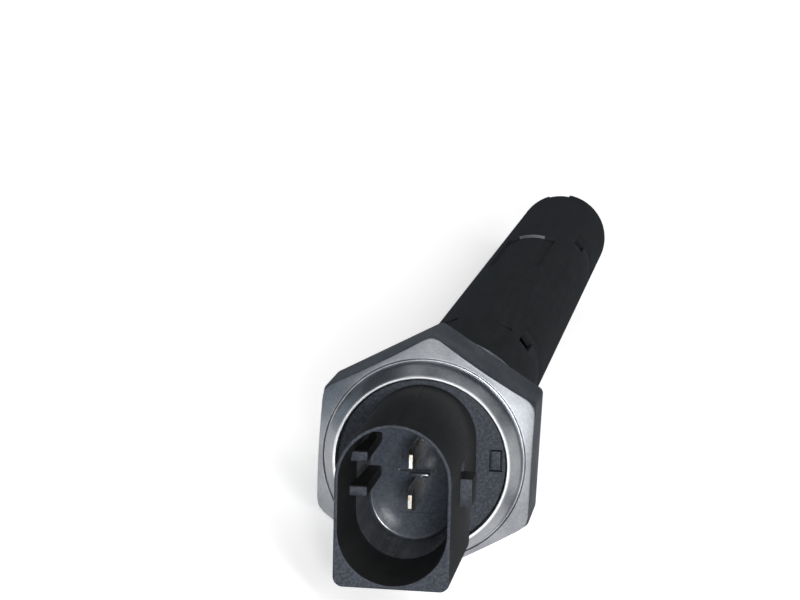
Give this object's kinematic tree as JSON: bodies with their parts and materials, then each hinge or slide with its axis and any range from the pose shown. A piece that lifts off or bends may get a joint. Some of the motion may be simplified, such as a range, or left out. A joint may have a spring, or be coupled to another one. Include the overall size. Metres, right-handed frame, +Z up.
{
  "type": "oil level sensor",
  "caption": "Screw-in engine oil level sensor: hexagon body with thread and crush washer, blade connector and a long slotted probe tube, lying on one flat.",
  "frame": {"origin": "middle of the lying sensor's footprint, on the surface that carries the hexagon's lowest flat", "axes": "+Y along the sensor from the connector to the probe tube's free end, +Z up from the hexagon's lowest flat, +X to the window side"},
  "size_m": [0.0312, 0.239, 0.027],
  "materials": {
    "turned_steel": "turned, satin",
    "washer_aluminium": "stamped, dull silver",
    "black_plastic": "moulded, near-black satin",
    "black_rubber": "moulded, plain",
    "tinned_brass": "tin plated, bright",
    "potting_resin": "cast",
    "lead_metal": "drawn, plain",
    "sleeve_plastic": "extruded, plain",
    "carrier_plastic": "moulded, satin",
    "wire_nickel": "drawn, plain",
    "spring_steel": "drawn, plain"
  },
  "bodies": {
    "root": {"hex_body": "turned_steel", "sealing_washer": "washer_aluminium", "connector_housing": "black_plastic", "flange_oring": "black_rubber", "terminal_blade_upper": "tinned_brass", "terminal_blade_lower": "tinned_brass", "terminal_potting": "potting_resin", "lead_upper": "lead_metal", "lead_lower": "lead_metal", "lead_sleeve_upper": "sleeve_plastic", "lead_sleeve_lower": "sleeve_plastic", "protective_tube": "black_plastic", "spigot_oring": "black_rubber", "wire_carrier": "carrier_plastic", "crimp_ferrule_upper": "tinned_brass", "crimp_ferrule_lower": "tinned_brass", "sensing_wire": "wire_nickel", "wire_hook": "carrier_plastic", "tension_spring": "spring_steel", "spring_pin": "spring_steel", "end_plug": "black_plastic"}
  },
  "joints": []
}
